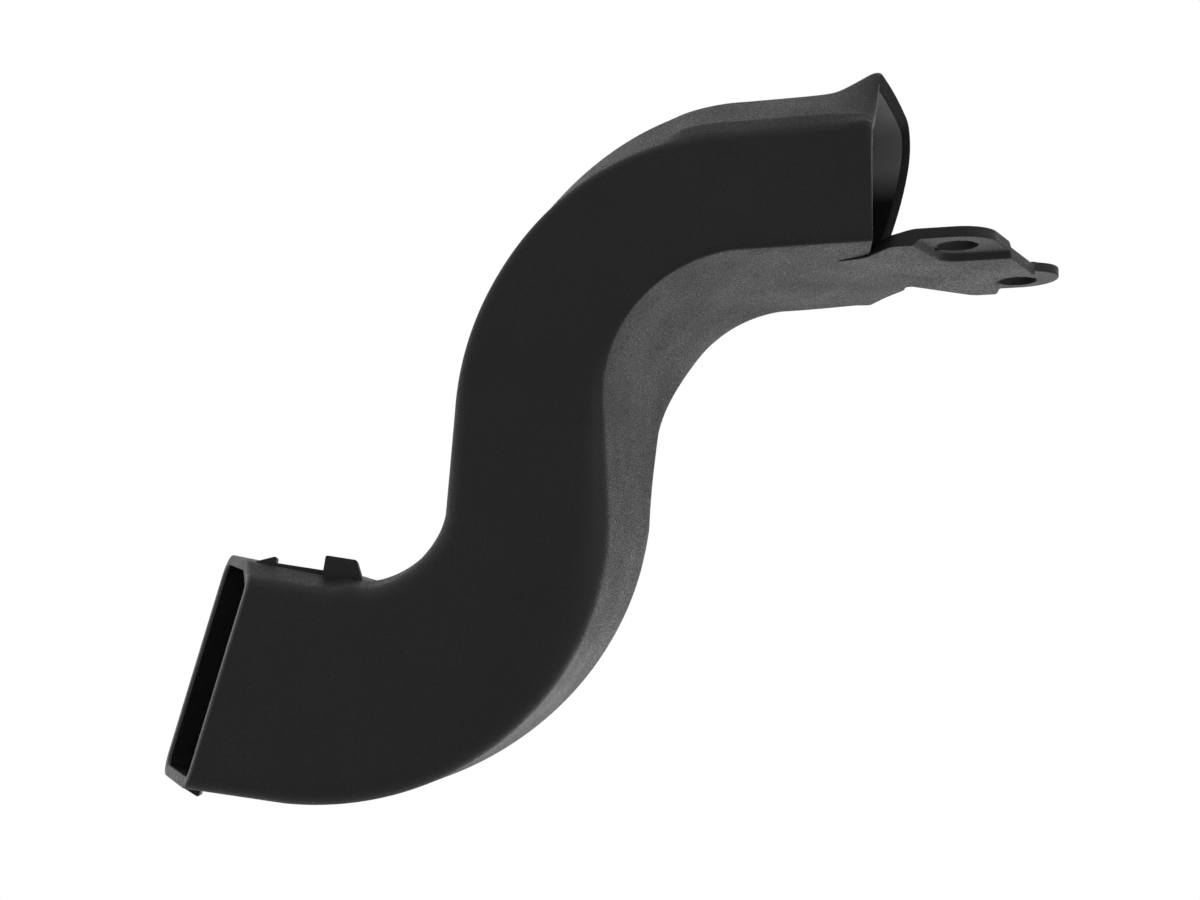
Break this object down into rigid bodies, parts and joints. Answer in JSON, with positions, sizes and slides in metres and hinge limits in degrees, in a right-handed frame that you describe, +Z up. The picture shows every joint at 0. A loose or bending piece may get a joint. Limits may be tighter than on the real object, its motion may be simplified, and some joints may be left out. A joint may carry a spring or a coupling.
{
  "type": "air intake scoop",
  "caption": "Moulded S-shaped air intake duct with a flared wide mouth, a tall narrow slanted outlet with snap wedges, and a flat fixing bracket with raised pads under the mouth.",
  "frame": {"origin": "middle of the two fixing holes, at the underside of the pads round them", "axes": "+X out of the mouth along the duct's first run, +Y across the duct from its near side wall to its far one, +Z up, along the fixing holes"},
  "size_m": [0.3775, 0.1594, 0.3007],
  "materials": {
    "shell": "fine-grained matte black moulded plastic"
  },
  "bodies": {
    "root": {"scoop": "shell"}
  },
  "joints": []
}
